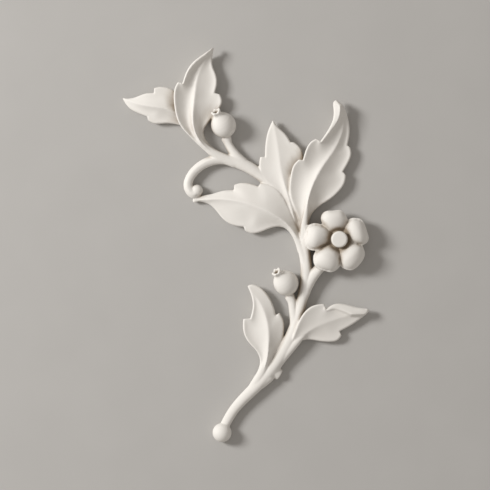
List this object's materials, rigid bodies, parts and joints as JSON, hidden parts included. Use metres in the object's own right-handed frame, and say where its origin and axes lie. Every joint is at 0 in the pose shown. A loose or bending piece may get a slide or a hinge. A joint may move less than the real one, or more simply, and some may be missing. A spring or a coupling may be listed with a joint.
{
  "type": "floral spray wall relief",
  "caption": "Cast floral spray in low relief for a wall or panel: curved stem with lobed leaves, round hips, an open flower, a curling tendril and a ball at the foot, flat at the back.",
  "frame": {"origin": "on the flat back, behind the middle of the spray's bounding box", "axes": "+Y up the wall from the ball at the foot towards the crown leaf, +X to the right seen from the room, +Z out of the wall"},
  "size_m": [0.2476, 0.3958, 0.025],
  "materials": {
    "plaster": "matt"
  },
  "bodies": {
    "root": {"floral_spray": "plaster"}
  },
  "joints": []
}
